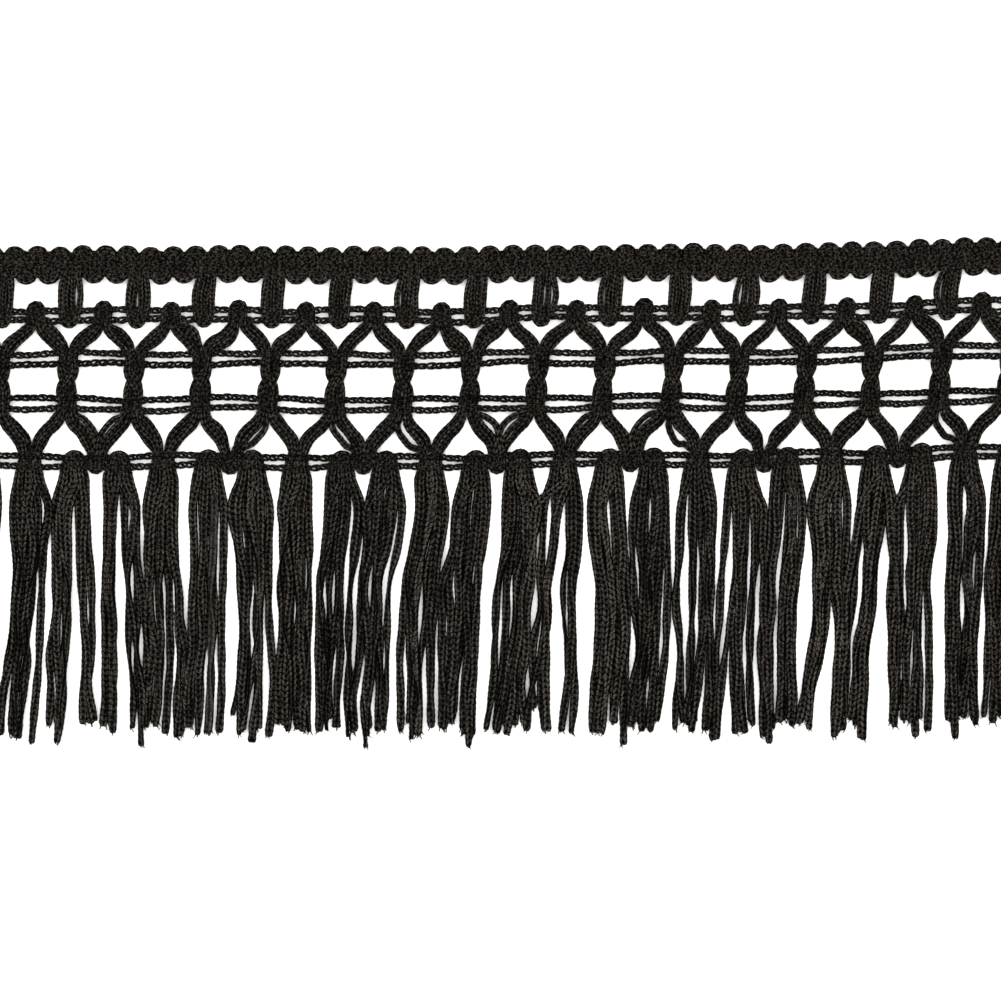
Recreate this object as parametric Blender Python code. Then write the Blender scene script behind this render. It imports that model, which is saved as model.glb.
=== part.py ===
"""Chainette fringe trim: a cut length of crochet-knitted trimming, lying face up.

The trim has three parts, one below the other:
  heading_braid   the dense scalloped braid, with the legs that its filling yarn drops to the net
  lattice_net     four pairs of chain cords, and the yarn that crosses between them in an open lattice
  tassel_01 ...   the fringe, each tassel a looped and cut bundle of chainette strands

Frame: +X runs along the trim, +Y points from the fringe to the heading, +Z is the face side. The
origin is the middle of the heading's flat back, where the trim is sewn or glued on. The trim rests on
z = 0. Every shape is first made on a straight trim, and laid() then gives it the slight unevenness of
a trim that lies loose.
"""

import math

import bmesh
import bpy
from mathutils import Matrix

MM = 0.001

# Knitting pattern, along the trim
COURSE = 2.3 * MM  # one knitted row
UNIT = 6 * COURSE  # one leg, one crossing of the lattice
UNITS = 16
TASSEL_PITCH = 4 * COURSE
TASSELS = UNITS * 6 // 4

# Heading braid
BRAID_HALF_HEIGHT = 3.75 * MM  # at the crest of a scallop
SCALLOP_DEPTH = 1.2 * MM
SCALLOP_PITCH = 2 * COURSE
BRAID_THICK = 2.3 * MM
BRAID_RELIEF = 0.25 * MM  # height of its two long ridges
BRAID_ROWS = 4
LEG_WIDTH, LEG_GROOVE, LEG_END = 4.9 * MM, 0.5 * MM, -8.2 * MM

# Rows of the net, measured down from the middle of the heading
CHAIN_ROWS = (-9.2 * MM, -11.2 * MM, -18.1 * MM, -20.2 * MM, -27.3 * MM, -29.4 * MM, -39.0 * MM, -41.0 * MM)
FRINGE_LINE = 41.0 * MM
CHAIN_WIDTH, CHAIN_THICK, CHAIN_Z = 1.4 * MM, 1.1 * MM, 1.1 * MM
YARN_WIDTH, YARN_THICK, YARN_Z = 2.5 * MM, 1.5 * MM, 0.95 * MM
CROSSING_LIFT = 0.3 * MM  # of the yarn that lies on top where two cross
LANE = 1.0 * MM  # from a crossing's middle to each of its two yarns
END_REACH = COURSE  # each end goes this far past the last unit

# One yarn's way from a knot under the heading to a knot on the fringe line: distance from the column
# that it passes through, and distance down from the middle of the heading.
YARN_ROUTE = (
    (-6.3 * MM, -10.4 * MM),
    (-5.2 * MM, -12.8 * MM),
    (-1.5 * MM, -16.6 * MM),
    (-LANE, -21.2 * MM),
    (LANE, -26.4 * MM),
    (1.5 * MM, -31.2 * MM),
    (5.2 * MM, -36.6 * MM),
    (6.3 * MM, -39.4 * MM),
)

# Knots: width, lowest y, highest y, thickness
NET_KNOT = (4.3 * MM, -12.2 * MM, -7.2 * MM, 2.6 * MM)
LEG_KNOT = (5.2 * MM, -12.9 * MM, -8.5 * MM, 2.6 * MM)
FRINGE_KNOT = (5.4 * MM, -41.8 * MM, -37.8 * MM, 2.6 * MM)
LOW_KNOT = (3.9 * MM, -42.9 * MM, -38.3 * MM, 2.6 * MM)
KNOT_SIDES, KNOT_RINGS = 6, 3

# Fringe
HEAD_TOP, HEAD_BOTTOM = -42.1 * MM, -45.4 * MM
HEAD_TOP_WIDTH, HEAD_BOTTOM_WIDTH, HEAD_THICK = 5.8 * MM, 7.4 * MM, 2.1 * MM
STRAND_WIDTH, STRAND_THICK = 1.6 * MM, 0.8 * MM
STRAND_PITCH = STRAND_WIDTH + 0.32 * MM
LOWER_Z = STRAND_THICK / 2
UPPER_Z = LOWER_Z + STRAND_THICK + 0.3 * MM
ROOT_LIFT = 0.2 * MM  # of the lower strands where they leave the head
ROOT, MIDDLE, TIP = -44.6 * MM, -68.0 * MM, -94.6 * MM
ROOT_SPREAD = 0.92
TIP_UNEVEN = 2.6 * MM

# How each tassel hangs. It parts into two locks: "parting" is the number of its four lower strands in
# the left lock, and the rest are how far each lock's middle lies from the root, half way down and at
# the tips, in millimetres.
#   parting, left middle, left tip, right middle, right tip
LOCKS = (
    (2, -2.9, -3.3, 0.6, 0.0),
    (3, -1.2, -3.7, 2.7, 0.8),
    (2, -2.7, -4.0, 3.3, 2.4),
    (2, -1.7, -2.5, 3.1, 3.4),
    (4, 0.0, 0.1, 0.0, 0.0),
    (3, -0.8, -2.2, 3.5, 2.5),
    (3, -0.4, -1.6, 3.5, 3.7),
    (2, -2.2, -1.2, 1.8, 2.4),
    (3, -2.2, -3.9, 1.6, 1.2),
    (2, -3.9, -5.3, -0.2, -0.6),
    (2, -4.9, -5.3, -0.2, -0.8),
    (2, -4.3, -5.0, -0.2, -1.4),
    (4, -1.2, -3.5, 0.0, 0.0),
    (2, -4.7, -5.7, 1.4, 0.6),
    (2, -1.4, -2.4, 3.6, 2.8),
    (2, -2.0, -3.3, 0.8, -0.4),
    (1, -4.1, -4.9, 1.0, -0.2),
    (1, -5.3, -5.5, 0.4, 0.4),
    (2, -4.5, -4.1, 0.2, 0.4),
    (2, -2.0, -4.9, 2.6, 0.6),
    (3, -2.8, -4.1, 3.9, 3.3),
    (2, -3.5, -4.3, 0.6, -0.2),
    (2, -1.4, -2.6, 2.0, 1.0),
    (2, -3.9, -3.7, 0.6, 0.4),
)

# How unevenly the trim lies
LEAN = 1.6 * MM  # the fringe line lies this far back from the heading
GATHER = 0.014  # and is this much shorter
RISE_CURVE, RISE_SKEW = 0.096, 75 * MM  # the whole trim bows by this curvature per metre


def clear_scene():
    for obj in list(bpy.data.objects):
        bpy.data.objects.remove(obj)


def new_collection(name):
    made = bpy.data.collections.new(name)
    bpy.context.scene.collection.children.link(made)
    return made


def yarn_material(name, colour, roughness):
    """A Principled material for one kind of yarn."""
    made = bpy.data.materials.new(name)
    made.use_nodes = True
    shader = made.node_tree.nodes["Principled BSDF"]
    shader.inputs["Base Color"].default_value = (*colour, 1.0)
    shader.inputs["Roughness"].default_value = roughness
    shader.inputs["Metallic"].default_value = 0.0
    return made


def laid(x, y):
    """Where a point of the straight trim lies, once the trim is laid down a little unevenly."""
    depth = min(max(-y / FRINGE_LINE, 0.0), 1.0)
    lean = (LEAN + GATHER * (x + UNITS * UNIT / 2)) * depth
    rise = RISE_CURVE * (x * x + RISE_SKEW * x)
    return x - lean, y + rise


def uneven(number, salt):
    """A value from -1 to 1 that looks random, and is the same each time for one number and salt."""
    value = math.sin(number * 12.9898 + salt * 78.233) * 43758.5453
    return 2 * (value - math.floor(value)) - 1


def mesh_object(name, mesh, collection):
    made = bpy.data.objects.new(name, mesh)
    collection.objects.link(made)
    return made


def object_from_bmesh(name, shape, collection):
    mesh = bpy.data.meshes.new(name)
    shape.to_mesh(mesh)
    shape.free()
    return mesh_object(name, mesh, collection)


def section_curve(name, corners, collection):
    """The section that a yarn's curve is drawn along its line with."""
    data = bpy.data.curves.new(name, "CURVE")
    data.dimensions = "2D"
    spline = data.splines.new("POLY")
    spline.points.add(len(corners) - 1)
    spline.use_cyclic_u = True
    for point, (across, up) in zip(spline.points, corners):
        point.co = (across, up, 0.0, 1.0)
    made = mesh_object(name, data, collection)
    made.hide_render = True
    made.display_type = "WIRE"
    return made


def flat_section(name, width, thick, collection):
    """A flat yarn's four-sided section."""
    half_width, half_thick = width / 2, thick / 2
    corners = ((-1, -1), (1, -1), (1, 1), (-1, 1))
    return section_curve(name, [(a * half_width, b * half_thick) for a, b in corners], collection)


def ridge_section(name, width, thick, collection):
    """A chain cord's section: flat underneath, with a ridge on the face."""
    corners = ((-width / 2, -thick / 2), (width / 2, -thick / 2), (0.0, thick / 2))
    return section_curve(name, corners, collection)


def grooved_section(name, width, thick, groove, collection):
    """A leg's section: two passes of yarn side by side, with a groove between them on the face."""
    low, high = -thick / 2, thick / 2
    corners = ((-width / 2, low), (width / 2, low), (width / 2, high), (0.0, high - groove), (-width / 2, high))
    return section_curve(name, corners, collection)


def yarn(name, points, section, collection):
    """A closed mesh of one yarn that follows points, with its flat section kept upright."""
    data = bpy.data.curves.new(name, "CURVE")
    data.dimensions = "3D"
    data.twist_mode = "Z_UP"
    data.bevel_mode = "OBJECT"
    data.bevel_object = section
    data.use_fill_caps = True
    spline = data.splines.new("POLY")
    spline.points.add(len(points) - 1)
    for point, place in zip(spline.points, points):
        point.co = (*place, 1.0)
    drawn = mesh_object(name + "_line", data, collection)
    bpy.context.view_layer.update()
    graph = bpy.context.evaluated_depsgraph_get()
    mesh = bpy.data.meshes.new_from_object(drawn.evaluated_get(graph))
    bpy.data.objects.remove(drawn)
    shape = bmesh.new()
    shape.from_mesh(mesh)
    bpy.data.meshes.remove(mesh)
    bmesh.ops.remove_doubles(shape, verts=shape.verts, dist=1e-6)
    bmesh.ops.recalc_face_normals(shape, faces=shape.faces)
    return object_from_bmesh(name, shape, collection)


def knot(name, x, sizes, collection):
    """A knot: a squat ball cut flat at its lower ring of points, round the chain cords that it ties."""
    width, low, high, thick = sizes
    shape = bmesh.new()
    bmesh.ops.create_uvsphere(shape, u_segments=KNOT_SIDES, v_segments=KNOT_RINGS, radius=0.5)
    turn = Matrix.Rotation(math.pi / KNOT_SIDES, 3, "Z")
    bmesh.ops.rotate(shape, verts=shape.verts, matrix=turn)
    ring_z = 0.5 * math.cos(math.pi * (KNOT_RINGS - 1) / KNOT_RINGS)
    for vert in shape.verts:
        vert.co.x = x + vert.co.x * width
        vert.co.y = (low + high) / 2 + vert.co.y / math.cos(math.pi / KNOT_SIDES) * (high - low)
        vert.co.z = max((vert.co.z - ring_z) / (0.5 - ring_z) * thick, 0.0)
    return object_from_bmesh(name, shape, collection)


def fuse(name, pieces, blanks, material, collection):
    """One solid from overlapping pieces, laid down unevenly."""
    group = bpy.data.collections.new(name + "_pieces")
    blanks.children.link(group)
    for piece in pieces[1:]:
        blanks.objects.unlink(piece)
        group.objects.link(piece)
    union = pieces[0].modifiers.new("Fuse", "BOOLEAN")
    union.operation = "UNION"
    union.solver = "EXACT"
    union.operand_type = "COLLECTION"
    union.collection = group
    bpy.context.view_layer.update()
    graph = bpy.context.evaluated_depsgraph_get()
    mesh = bpy.data.meshes.new_from_object(pieces[0].evaluated_get(graph))
    for piece in pieces:
        bpy.data.objects.remove(piece)
    bpy.data.collections.remove(group)
    shape = bmesh.new()
    shape.from_mesh(mesh)
    bmesh.ops.triangulate(shape, faces=shape.faces)
    for vert in shape.verts:
        vert.co.x, vert.co.y = laid(vert.co.x, vert.co.y)
    shape.to_mesh(mesh)
    shape.free()
    mesh.name = name
    mesh.materials.clear()
    mesh.materials.append(material)
    return mesh_object(name, mesh, collection)


def braid_edge(x, phase):
    """How far the braid reaches from its middle at x: a row of round scallops with narrow notches."""
    swing = math.cos(2 * math.pi * (x / SCALLOP_PITCH + phase))
    return BRAID_HALF_HEIGHT - SCALLOP_DEPTH * (0.5 - 0.5 * swing) ** 2


def braid_body(collection):
    """The braid without its legs: a grid raised over its flat back, with scalloped edges."""
    half_length = UNITS * UNIT / 2 + END_REACH
    stations = round(2 * half_length / SCALLOP_PITCH * 3)
    shape = bmesh.new()
    bmesh.ops.create_grid(shape, x_segments=stations, y_segments=BRAID_ROWS, size=1.0)
    copied = bmesh.ops.duplicate(shape, geom=shape.faces[:])
    back = {item for item in copied["geom"] if isinstance(item, bmesh.types.BMVert)}
    for vert in shape.verts:
        x = vert.co.x * half_length
        across = vert.co.y
        reach = braid_edge(x, 1 / 6) if across > 0 else braid_edge(x, 0.5)
        ridge = -math.cos(2 * math.pi * across) * BRAID_RELIEF
        crown = BRAID_THICK * (1 - 0.65 * abs(across) ** 6)
        height = 0.0 if vert in back else crown - BRAID_RELIEF + ridge
        vert.co = (x, across * reach, height)
    rims = [edge for edge in shape.edges if edge.is_boundary]
    bmesh.ops.bridge_loops(shape, edges=rims)
    back_edges = [edge for edge in shape.edges if all(vert in back for vert in edge.verts)]
    bmesh.ops.dissolve_limit(shape, angle_limit=0.001, verts=list(back), edges=back_edges)
    bmesh.ops.recalc_face_normals(shape, faces=shape.faces)
    return object_from_bmesh("braid", shape, collection)


def heading_braid(blanks, section, material, collection):
    """The braid with its legs: each leg is the filling yarn's way down to the net and back."""
    pieces = [braid_body(blanks)]
    for unit in range(UNITS):
        x = (unit + 0.5 - UNITS / 2) * UNIT
        points = ((x, -2.0 * MM, YARN_Z), (x, LEG_END, YARN_Z))
        pieces.append(yarn("leg", points, section, blanks))
    return fuse("heading_braid", pieces, blanks, material, collection)


def net_yarn(column, side, section, collection):
    """One yarn through a column of the lattice. side is 1 if it falls to the right, -1 to the left."""
    z = YARN_Z + CROSSING_LIFT if side > 0 else YARN_Z
    points = [(column + side * across, y, z) for across, y in YARN_ROUTE]
    return yarn("net_yarn", points, section, collection)


def chain_cord(y, section, collection):
    reach = UNITS * UNIT / 2 + END_REACH
    return yarn("chain", ((-reach, y, CHAIN_Z), (reach, y, CHAIN_Z)), section, collection)


def tassel_root(number):
    """The middle of a tassel on the fringe line, on the straight trim."""
    return (number + 0.5 - TASSELS / 2) * TASSEL_PITCH


def lattice_net(blanks, yarn_section, chain_section, material, collection):
    """The chain cords, the crossing yarns between them and the knots where they meet."""
    pieces = [chain_cord(y, chain_section, blanks) for y in CHAIN_ROWS]
    for unit in range(UNITS):
        column = (unit + 0.5 - UNITS / 2) * UNIT
        pieces.append(knot("leg_knot", column, LEG_KNOT, blanks))
        for side in (1, -1):
            pieces.append(net_yarn(column, side, yarn_section, blanks))
    for number in range(UNITS + 1):
        x = (number - UNITS / 2) * UNIT
        pieces.append(knot("net_knot", x, NET_KNOT, blanks))
        if number % 2 == 0:
            pieces.append(knot("low_knot", x, LOW_KNOT, blanks))
    for number in range(TASSELS):
        pieces.append(knot("fringe_knot", tassel_root(number), FRINGE_KNOT, blanks))
    return fuse("lattice_net", pieces, blanks, material, collection)


def locks_at(number, station):
    """Where a tassel's four lower strands lie at a station of the fringe, on the straight trim."""
    parting, left_middle, left_tip, right_middle, right_tip = LOCKS[number]
    root = tassel_root(number)
    if station == ROOT:
        return [root + (lane - 1.5) * STRAND_PITCH * ROOT_SPREAD for lane in range(4)]
    left_offset, right_offset = (left_middle, right_middle) if station == MIDDLE else (left_tip, right_tip)
    places = []
    for lane in range(4):
        if lane < parting:
            offset, first, count = left_offset, 0, parting
        else:
            offset, first, count = right_offset, parting, 4 - parting
        places.append(root + offset * MM + (lane - first - (count - 1) / 2) * STRAND_PITCH)
    return places


def kept_apart(places, pitch):
    """The places in order, moved as little as it takes to lie at least a pitch apart."""
    moved = list(places)
    for _ in range(200):
        for index in range(len(moved) - 1):
            short = pitch - (moved[index + 1] - moved[index])
            if short > 0:
                moved[index] -= short / 2
                moved[index + 1] += short / 2
    return moved


def lower_strands():
    """For each lower strand of the whole fringe, its place at each station."""
    ways = []
    for station in (ROOT, MIDDLE, TIP):
        places = [x for number in range(TASSELS) for x in locks_at(number, station)]
        if station != ROOT:
            places = kept_apart(places, STRAND_PITCH)
        ways.append(places)
    return list(zip(*ways))


def upper_pairs(parting):
    """The pairs of lower strands that a tassel's two upper strands lie between."""
    return {1: ((1, 2), (2, 3)), 3: ((0, 1), (1, 2))}.get(parting, ((0, 1), (2, 3)))


def strand_points(way, upper, tip):
    """A strand's line, from inside the head to its cut end."""
    z = UPPER_Z if upper else LOWER_Z
    root_z = z if upper else z + ROOT_LIFT
    return list(zip(way, (ROOT, MIDDLE, tip), (root_z, z, z)))


def tassel_head(number, collection):
    """The gathered top of a tassel, a flat wedge that widens downwards."""
    shape = bmesh.new()
    bmesh.ops.create_cube(shape, size=1.0)
    middle = (HEAD_TOP + HEAD_BOTTOM) / 2
    for vert in shape.verts:
        width = HEAD_TOP_WIDTH if vert.co.y > 0 else HEAD_BOTTOM_WIDTH
        x = tassel_root(number) + vert.co.x * width
        y = middle + vert.co.y * (HEAD_TOP - HEAD_BOTTOM)
        vert.co = (x, y, (vert.co.z + 0.5) * HEAD_THICK)
    return object_from_bmesh("head", shape, collection)


def tassel(number, ways, section, blanks, material, collection):
    """One tassel: four strands on the surface, two lying over them, and the head that holds them."""
    lower = ways[4 * number : 4 * number + 4]
    upper = []
    for left, right in upper_pairs(LOCKS[number][0]):
        upper.append([(a + b) / 2 for a, b in zip(lower[left], lower[right])])
    pieces = [tassel_head(number, blanks)]
    for index, way in enumerate([*lower, *upper]):
        tip = TIP + TIP_UNEVEN * uneven(6 * number + index, 1)
        pieces.append(yarn("strand", strand_points(way, index >= 4, tip), section, blanks))
    name = f"tassel_{number + 1:02d}"
    return fuse(name, pieces, blanks, material, collection)


def main():
    clear_scene()
    trim = new_collection("chainette_fringe_trim")
    blanks = new_collection("blanks")
    braid_yarn = yarn_material("braid_yarn", (0.018, 0.016, 0.014), 0.6)
    net_yarn_black = yarn_material("net_yarn", (0.017, 0.015, 0.013), 0.55)
    fringe_yarn = yarn_material("fringe_yarn", (0.022, 0.020, 0.018), 0.5)
    yarn_section = flat_section("yarn_section", YARN_WIDTH, YARN_THICK, blanks)
    leg_section = grooved_section("leg_section", LEG_WIDTH, YARN_THICK, LEG_GROOVE, blanks)
    chain_section = ridge_section("chain_section", CHAIN_WIDTH, CHAIN_THICK, blanks)
    strand_section = flat_section("strand_section", STRAND_WIDTH, STRAND_THICK, blanks)
    heading_braid(blanks, leg_section, braid_yarn, trim)
    lattice_net(blanks, yarn_section, chain_section, net_yarn_black, trim)
    ways = lower_strands()
    for number in range(TASSELS):
        tassel(number, ways, strand_section, blanks, fringe_yarn, trim)


main()
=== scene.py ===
"""Looks of the chainette fringe trim: knitted heading, open lattice and cut tassels, laid on a pale floor.

Every yarn is modelled as it is knitted. A chainette is a flattened tube of small stitches that shows two
columns of slanted loops, and a chain cord is one thread looped through itself. All of them follow the
same straight pattern as the solids, and Pattern.laid() then gives it the unevenness of a loose trim.
"""

import logging
import math
from dataclasses import dataclass
from enum import Enum
from functools import cache, partial
from typing import Callable, Sequence

import bpy
import numpy as np
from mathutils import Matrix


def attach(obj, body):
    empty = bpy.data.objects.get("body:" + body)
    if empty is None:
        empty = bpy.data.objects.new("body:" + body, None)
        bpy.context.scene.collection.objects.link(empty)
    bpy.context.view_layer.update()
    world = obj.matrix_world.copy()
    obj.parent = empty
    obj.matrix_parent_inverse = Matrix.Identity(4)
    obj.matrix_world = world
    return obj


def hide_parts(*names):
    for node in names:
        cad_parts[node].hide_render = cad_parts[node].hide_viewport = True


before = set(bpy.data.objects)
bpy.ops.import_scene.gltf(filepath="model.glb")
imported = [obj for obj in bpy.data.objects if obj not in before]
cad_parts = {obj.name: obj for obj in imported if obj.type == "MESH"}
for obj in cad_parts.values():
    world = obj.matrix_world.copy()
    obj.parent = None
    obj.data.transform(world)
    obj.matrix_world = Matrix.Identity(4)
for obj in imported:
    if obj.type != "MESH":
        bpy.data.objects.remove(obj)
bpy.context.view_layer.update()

MM = 0.001
Array = np.ndarray
Object = bpy.types.Object
Triple = tuple[float, float, float]
Row = tuple[float, ...]
log = logging.getLogger("trim")


def placed(name: str, data: bpy.types.ID) -> Object:
    """Makes an object of a mesh, a light or a camera, puts it in the scene and returns it."""
    made = bpy.data.objects.new(name, data)
    bpy.context.scene.collection.objects.link(made)
    return made


def uneven(*numbers: float) -> float:
    """A value from -1 to 1 that looks random, and is always the same for the same numbers."""
    mixed = sum(number * step for number, step in zip(numbers, (12.9898, 78.233, 37.719, 9.151)))
    value = math.sin(mixed + 0.5) * 43758.5453
    return 2 * (value - math.floor(value)) - 1


def smooth_step(value: Array | float) -> Array | float:
    """A soft step from 0 at 0 to 1 at 1."""
    held = np.clip(value, 0.0, 1.0)
    return held * held * (3 - 2 * held)


def way_along(points: Array) -> Array:
    """The length of a line of points up to each of them."""
    return np.concatenate([[0.0], np.cumsum(np.linalg.norm(np.diff(points, axis=0), axis=1))])


def both_sides(half: Sequence[tuple[float, float]]) -> list[tuple[float, float]]:
    """A turn of yarn, up its left side, over its highest point at (0, 0) and down its right side."""
    return [(-side, down) for side, down in half] + [(0.0, 0.0)] + list(half[::-1])


def smooth_path(points: Sequence[Sequence[float]], spacing: float) -> Array:
    """A smooth curve through points, read at even steps.

    Args:
        points: the route's own points, at least two. Columns after the third go along with the place.
        spacing: the step between two points of the curve.

    Returns:
        An array of points, one row each.
    """
    route = np.asarray(points, dtype=float)
    ends = np.vstack([2 * route[0] - route[1], route, 2 * route[-1] - route[-2]])
    share = np.linspace(0.0, 1.0, 9)[:-1][None, :, None]
    before, start, end, after = (ends[k : len(ends) - 3 + k, None, :] for k in range(4))
    fine = 0.5 * (
        2 * start
        + (end - before) * share
        + (2 * before - 5 * start + 4 * end - after) * share**2
        + (3 * start - before - 3 * end + after) * share**3
    )
    fine = np.vstack([fine.reshape(-1, route.shape[1]), route[-1:]])
    along = way_along(fine[:, :3])
    steps = np.linspace(0.0, along[-1], max(int(round(along[-1] / spacing)), 2) + 1)
    return np.column_stack([np.interp(steps, along, column) for column in fine.T])


def path_frames(path: Array) -> tuple[Array, Array, Array]:
    """Directions along a path, to its left in the plane of the trim, and upwards from it.

    Args:
        path: its points, one row each.

    Returns:
        The three directions at each point, each of length 1.
    """
    ahead = np.gradient(path, axis=0)
    ahead /= np.maximum(np.linalg.norm(ahead, axis=1, keepdims=True), 1e-12)
    left = np.cross((0.0, 0.0, 1.0), ahead)
    upright = np.linalg.norm(left, axis=1, keepdims=True) < 0.05
    left = np.where(upright, (0.0, 1.0, 0.0), left)
    left /= np.linalg.norm(left, axis=1, keepdims=True)
    return ahead, left, np.cross(ahead, left)


@dataclass(frozen=True)
class Pattern:
    """The knitting pattern, shared by all the parts of the trim."""

    course: float = 2.3 * MM
    units: int = 16
    fringe_line: float = 41.0 * MM
    # From the top of the heading to the bottom of the lowest knots.
    cloth_drop: float = 46.7 * MM
    end_reach: float = 2.3 * MM
    # How the trim lies: below the heading it leans to the left, more so on its right, and it is bent.
    lean: float = 1.6 * MM
    gather: float = 0.014
    rise_curve: float = 0.096
    rise_skew: float = 75 * MM
    wander: float = 0.16 * MM
    # The waves in which the trim wanders up and down: radians a metre, start and share.
    waves: tuple[Triple, ...] = ((83.0, 0.0, 1.0), (211.0, 1.0, 0.7), (37.0, 2.0, 0.5))
    # Yarn below this height is pressed towards the floor and stays above it.
    pressed: float = 0.3 * MM

    @property
    def unit(self) -> float:
        """Length of one leg or one crossing of the lattice."""
        return 6 * self.course

    @property
    def half_length(self) -> float:
        """Half the trim's length, with the reach of its two ends."""
        return self.units * self.unit / 2 + self.end_reach

    @property
    def tassel_pitch(self) -> float:
        """Distance between two tassels."""
        return 4 * self.course

    @property
    def tassels(self) -> int:
        """Number of tassels."""
        return self.units * 6 // 4

    def column(self, number: int) -> float:
        """Where a column of the lattice and the leg above it stand."""
        return (number + 0.5 - self.units / 2) * self.unit

    def knot(self, number: int) -> float:
        """Where a knot of the lattice stands, between two columns."""
        return (number - self.units / 2) * self.unit

    def tassel_root(self, number: int) -> float:
        """Where a tassel hangs on the fringe line."""
        return (number + 0.5 - self.tassels / 2) * self.tassel_pitch

    def laid(self, points: Array) -> Array:
        """Moves points of the straight trim to where they lie on the loose one, above the floor.

        Args:
            points: an array whose last axis is a place.

        Returns:
            The moved points, in the same order.
        """
        x, y, z = points[..., 0], points[..., 1], points[..., 2]
        depth = np.clip(-y / self.fringe_line, 0.0, 1.0)
        lean = (self.lean + self.gather * (x + self.units * self.unit / 2)) * depth
        rise = self.rise_curve * (x * x + self.rise_skew * x)
        sway = sum(share * np.sin(x * pace + start) for pace, start, share in self.waves)
        moved = points.copy()
        moved[..., 0] = x - lean
        moved[..., 1] = y + rise + self.wander * sway
        low = self.pressed * np.exp(np.minimum(z / self.pressed - 1, 0.0))
        moved[..., 2] = np.where(z < self.pressed, low, z)
        return moved


class Mesher:
    """Gathers tubes of yarn and makes one mesh of them, with two UV maps.

    The map "yarn" gives the way along a yarn and round it, for its material. The map "OFBake" lays each
    tube out in strips of one width, so that no two faces share a place.
    """

    strip_gap: float = 0.6 * MM
    # Radius of a tube's end in the map "OFBake" and the room it has there, as shares of the tube's girth.
    cap_radius: float = 0.12
    cap_room: float = 0.26

    def __init__(self, pattern: Pattern) -> None:
        """Starts with no tubes."""
        self.pattern = pattern
        self.tubes: list[tuple[Array, Array]] = []

    def tube(self, rings: Array, stitches: Array) -> None:
        """Adds a closed tube.

        Args:
            rings: points of the straight trim, as rings along the tube by an even number of points round
                each ring.
            stitches: how many stitches along the yarn each ring lies, for the map "yarn".
        """
        self.tubes.append((self.pattern.laid(rings), stitches))

    def object(self, name: str) -> Object:
        """Makes the object that holds all tubes gathered so far.

        Args:
            name: the object's name.

        Returns:
            The object, in the scene and not yet dressed.
        """
        points, faces, yarn_map, strips = [], [], [], []
        base = 0
        for rings, stitches in self.tubes:
            count, sides, _ = rings.shape
            along = way_along(rings.mean(axis=1))
            waist = rings[count // 2]
            around = float(np.linalg.norm(waist - np.roll(waist, 1, axis=0), axis=1).sum())
            # The ring and the side of each corner of the wall.
            ring = np.repeat(np.arange(count - 1), sides)[:, None] + (1, 1, 0, 0)
            side = np.tile(np.arange(sides), count - 1)[:, None] + (0, 1, 1, 0)
            caps = np.array([(0, k, k + 1, k + 2) for k in range(1, sides - 1, 2)])
            far_caps = caps[:, ::-1] + (count - 1) * sides
            faces.append(np.vstack([ring * sides + side % sides, caps, far_caps]) + base)
            near, far = (np.stack([caps * 0.0 + stitches[end], caps / sides], axis=-1) for end in (0, -1))
            yarn_map += [np.stack([stitches[ring], side / sides], axis=-1), near, far[:, ::-1]]
            turn = caps / sides * 2 * math.pi
            cap_uv = np.stack([np.cos(turn), np.sin(turn)], axis=-1) * self.cap_radius * around
            strips.append((along[ring], side / sides * around, cap_uv, along[-1], around))
            points.append(rings.reshape(-1, 3))
            base += count * sides
        mesh = bpy.data.meshes.new(name)
        mesh.from_pydata(np.vstack(points), [], np.vstack(faces), shade_flat=False)
        mesh.validate()
        self._map(mesh, "yarn", np.concatenate(yarn_map))
        self._map(mesh, "OFBake", self._strip_map(strips))
        mesh.uv_layers["OFBake"].active = True
        return placed(name, mesh)

    def _strip_map(self, strips: Sequence[tuple]) -> Array:
        """Lays the tubes out on a square, in rows of one height and length.

        Args:
            strips: for each tube the way along and round it to each corner of its wall, its ends' corners
                about their middle, its length and its girth.

        Returns:
            The place of each corner, in the order of the faces.
        """
        gap = self.strip_gap
        height = max(around for *_, around in strips) + gap
        total = sum(length + 2 * self.cap_room * around + gap for *_, length, around in strips)
        longest_face = max(float(np.ptp(wall_u, axis=1).max()) for wall_u, *_ in strips)
        row_length = math.sqrt(total * height) * 1.04 + longest_face
        row, start, places = 0, 0.0, []
        for wall_u, wall_v, cap_uv, length, around in strips:
            room = self.cap_room * around
            if start + 2 * (room + gap) + min(length, row_length / 4) > row_length:
                row, start = row + 1, 0.0
            caps = []
            for _ in range(2):
                caps.append(cap_uv + (start + room / 2, row * height + 0.2 * around))
                start += room + gap / 2
            down = np.floor((start + wall_u.min(axis=1)) / row_length)
            x = start + wall_u - (down * row_length)[:, None]
            y = (row + down)[:, None] * height + wall_v
            places += [np.stack([x, y], axis=-1), caps[0], caps[1][:, ::-1]]
            end = start + length
            row, start = row + int(end // row_length), end % row_length + longest_face + gap
        return np.concatenate(places) / (row_length + longest_face, (row + 1) * height)

    @staticmethod
    def _map(mesh: bpy.types.Mesh, name: str, places: Array) -> None:
        """Adds a UV map with the given places, one for each corner."""
        layer = mesh.uv_layers.new(name=name, do_init=False)
        layer.uv.foreach_set("vector", places.astype(np.float32).ravel())


class Loops(Enum):
    """How the loops of a chainette lie.

    The rows go half way round the yarn: an edge, a column, the middle and a column. Each has its angle in
    degrees, how far out it lies, and how far ahead, in stitches.
    """

    CROSSED = ((0, 1.00, 0.20), (56, 1.06, -0.20), (90, 0.76, 0.20), (124, 1.06, -0.20))
    HERRINGBONE = ((0, 1.00, 0.36), (56, 1.06, 0.00), (90, 0.76, -0.36), (124, 1.06, 0.00))


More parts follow.
